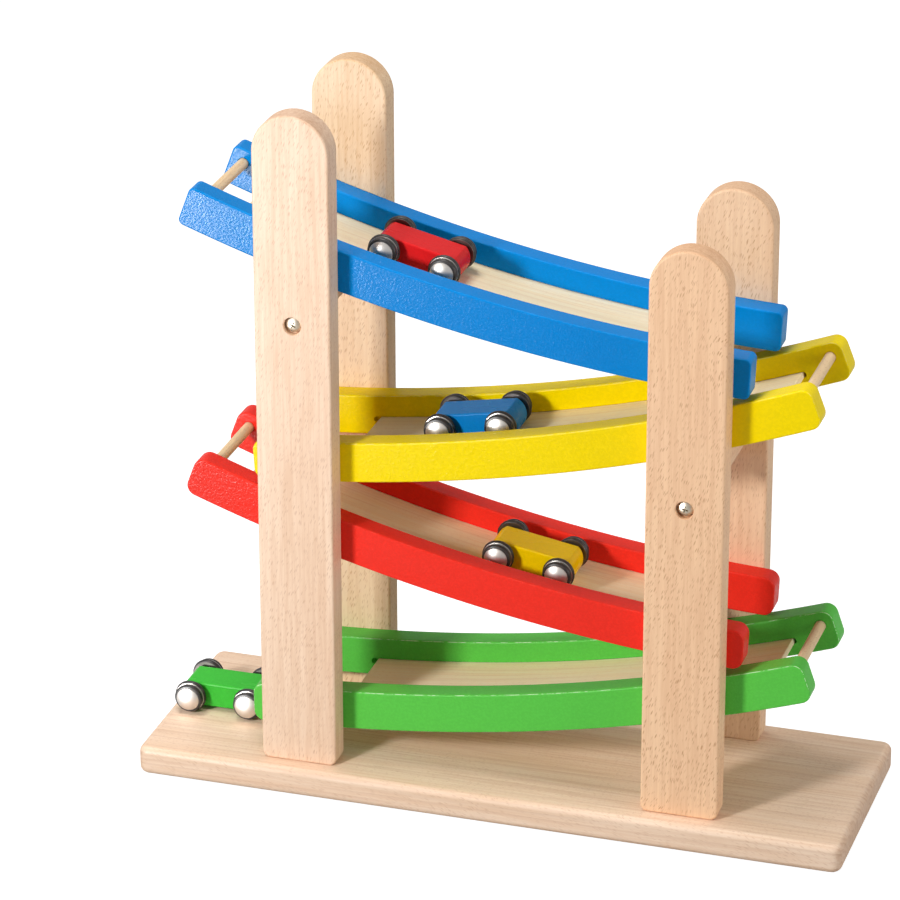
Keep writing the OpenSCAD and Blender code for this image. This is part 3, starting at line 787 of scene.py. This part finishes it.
# Hubs: turned metal, nickel plated, with their backs painted darker as the shade between the wheel and the
# car. From the outside in, each has a low dome, a seat for the small ring, a thin collar, a seat for the
# large ring, a flange, and a dished back with a boss.
ring_r, large_r, small_r, wheel_y = 1.15 * mm, 6.8 * mm, 6.1 * mm, 12 * mm
large_out, small_out, back, dome_base = -1.35 * mm, 1.35 * mm, -2.75 * mm, 2.8 * mm
flange_r, dish_r, boss_r, boss_end, ease = 6.2 * mm, 4 * mm, 2.2 * mm, -3.6 * mm, 0.2 * mm
dish = back + 0.9 * mm


def ring_seat(radius, out):
    """Steps along the round seat under a ring."""
    r = ring_r + 0.03 * mm
    return [
        (radius - ring_r - r * math.sin(math.radians(a)), out - r * math.cos(math.radians(a)))
        for a in (0, 30, 60, 90, 120, 150, 180)
    ]


dome_r, dome_h = 4.9 * mm, 1.6 * mm
dome_ball = (dome_r ** 2 + dome_h ** 2) / (2 * dome_h)
hub_steps = (
    [(1.0 * mm, boss_end), (boss_r - ease, boss_end), (boss_r, boss_end + ease), (boss_r, dish),
     (dish_r - ease, dish), (dish_r, dish - ease), (dish_r, back + ease / 2),
     (dish_r + ease / 2, back), (flange_r - ease / 2, back), (flange_r, back + ease / 2),
     (flange_r, -2.42 * mm)]
    + ring_seat(large_r, large_out)
    + [(flange_r, -0.28 * mm), (flange_r, 0.12 * mm), (small_r, 0.18 * mm)]
    + ring_seat(small_r, small_out)
    + [(dome_r, dome_base)]
    + [
        (dome_r * math.cos(t), dome_base + dome_h - dome_ball
         + math.sqrt(dome_ball ** 2 - (dome_r * math.cos(t)) ** 2))
        for t in (math.radians(a) for a in (12, 22, 32, 42, 52, 62, 72, 80, 86))
    ]
)
hub = turned(hub_steps, 72)
# Marks the back of each hub, to be painted darker as the shade between the wheel and the car.
painted_shade_on_back = hub.data.attributes.new("back", "FLOAT", "POINT")
for point, kept in zip(hub.data.vertices, painted_shade_on_back.data):
    kept.value = 1.0 if point.co.z < large_out - 0.5 * mm else 0.0
# The last colour is the painted shade on the hubs' backs.
nickel = metal("nickel plated hubs", srgb(212, 206, 200), 0.33, 0.15, 0.0015, srgb(112, 106, 103))

# Rings: two round rings of black rubber to a wheel, stretched over the hub into their seats and
# a little dusty. The large one runs on the floor; the small one sits outside it, past the collar.


def ring(radius, out):
    """A round rubber ring, with the flat line that its mould leaves round its outside."""
    bpy.ops.mesh.primitive_torus_add(
        major_segments=56, minor_segments=20, major_radius=radius - ring_r, minor_radius=ring_r,
        location=(0, 0, out),
    )
    piece = fix_place()
    open_piece(piece)
    pick("VERT", lambda point: math.hypot(point.co.x, point.co.y) > radius - 0.02 * mm)
    bpy.ops.mesh.bevel(offset=0.12 * mm, segments=1, affect="EDGES")
    return close_piece(piece)


rings = put_together([ring(large_r, large_out), ring(small_r, small_out)])
rubber_skin, given, out = new_group(
    "rubber",
    (("Place", "Vector", None), ("Colour", "Color", srgb(38, 34, 33))),
    (("Colour", "Color"), ("Roughness", "Float"), ("Height", "Float")),
)
tree = rubber_skin
bloom = noise(tree, given["Place"], (420, 420, 420), 3)
grit = noise(tree, given["Place"], (3800, 3800, 3800), 2)
dust = calc(tree, "MULTIPLY", step_between(tree, bloom, 0.45, 0.8), 0.22)
tree.links.new(blend_colours(tree, dust, given["Colour"], srgb(120, 104, 96)), out["Colour"])
tree.links.new(calc(tree, "MULTIPLY_ADD", bloom, 0.3, 0.28), out["Roughness"])
tree.links.new(grit, out["Height"])
rubber = new_finish("black rubber rings", rubber_skin, {}, 0.01, 0.5)[0]

# Wheels: a hub with its two rings on each end of every axle, with its dome outwards. Both wheels
# of an axle turn together.
for car, (*_, way) in cars.items():
    for end, ahead in (("front", way), ("rear", -way)):
        wheels = [
            car_places[car] @ Matrix.Translation((ahead * wheelbase / 2, 0, 0)) @ turn
            @ Matrix.Translation((0, wheel_y, 0)) @ outwards
            for turn in (Matrix.Identity(4), to_front)
        ]
        body = f"{car}_{end}_wheels"
        pair = put_together([another(hub, place) for place in wheels])
        dress(pair, f"{car}_{end}_hubs_plated", nickel, "hub_chrome", body, f"{car}_{end}_hubs")
        pair = put_together([another(rings, place) for place in wheels])
        dress(pair, f"{car}_{end}_rings_rubber", rubber, "ring_rubber", body, f"{car}_{end}_tyres")
bpy.data.objects.remove(hub)
bpy.data.objects.remove(rings)

# Studio: a white floor that keeps the toy's shadow, and an even pale surround. A near lamp stands
# at the front left, a weak one at the right and a soft one above, and a low panel, which only
# reflects, gives the left end of the blue ramp its sheen.


def background_glow(tree, seen, glossy):
    """A glow for the camera and glass, and one for reflections, that doesn't light the toy."""
    rays = add_node(tree, "LightPath").outputs
    clear = calc(tree, "MAXIMUM", rays["Is Camera Ray"], rays["Is Transmission Ray"])
    return calc(tree, "MULTIPLY_ADD", rays["Is Glossy Ray"], glossy, calc(tree, "MULTIPLY", clear, seen))


bpy.ops.mesh.primitive_plane_add(size=12, location=(0, 0, -0.1 * mm))
floor = bpy.context.object
floor.name = "studio_floor"
white = bpy.data.materials.new("white studio floor")
white.use_nodes = True
tree = white.node_tree
shader = tree.nodes["Principled BSDF"]
shader.inputs["Base Color"].default_value = (0.4, 0.4, 0.4, 1)
shader.inputs["Roughness"].default_value = 0.9
shader.inputs["Specular IOR Level"].default_value = 0.0
shader.inputs["Emission Color"].default_value = (1, 1, 1, 1)
tree.links.new(background_glow(tree, 0.88, 0.3), shader.inputs["Emission Strength"])
floor.data.materials.append(white)

world = bpy.data.worlds.new("pale surround")
bpy.context.scene.world = world
world.use_nodes = True
tree = world.node_tree
surround = tree.nodes["Background"]
surround.inputs["Color"].default_value = (1, 1, 1, 1)
even = calc(tree, "ADD", background_glow(tree, 0.8, 0.4), 0.2)
tree.links.new(even, surround.inputs["Strength"])


def lamp(name, place, target, size, power):
    """A soft square lamp that faces a point."""
    light = bpy.data.lights.new(name, "AREA")
    light.size, light.energy = size, power
    holder = bpy.data.objects.new(name, light)
    bpy.context.collection.objects.link(holder)
    holder.location = place
    holder.visible_camera = False
    holder.rotation_euler = (Vector(target) - Vector(place)).to_track_quat("-Z", "Y").to_euler()
    return holder


middle = (0, 0, 0.14)
lamp("left lamp", (-0.46, -0.8, 0.5), middle, 0.14, 7.2)
lamp("right lamp", (0.8, -0.15, 0.38), middle, 0.35, 2.4)
lamp("top lamp", (-0.25, 0.05, 1.4), middle, 0.5, 9.0)
sheen = lamp("low sheen panel", (-0.43, -0.54, 0.05), (-0.14, 0, 0.2), 0.16, 16.0)
sheen.visible_diffuse = False

camera = bpy.data.objects.new("camera", bpy.data.cameras.new("camera"))
bpy.context.collection.objects.link(camera)
azimuth, elevation, roll = (math.radians(a) for a in (17.431, 23.399, -0.106))
aim, distance = Vector((-0.02847, 0, 0.14239)), 1.8482
towards = Vector((
    math.sin(azimuth) * math.cos(elevation), -math.cos(azimuth) * math.cos(elevation), math.sin(elevation)
))
camera.location = aim + towards * distance
camera.rotation_euler = (
    (-towards).to_track_quat("-Z", "Y").to_matrix() @ Matrix.Rotation(roll, 3, "Z")
).to_euler()
camera.data.sensor_width = 36
camera.data.lens = 181.37
camera.data.clip_start, camera.data.clip_end = 0.05, 50
bpy.context.scene.camera = camera
bpy.context.scene.view_settings.view_transform = "Standard"
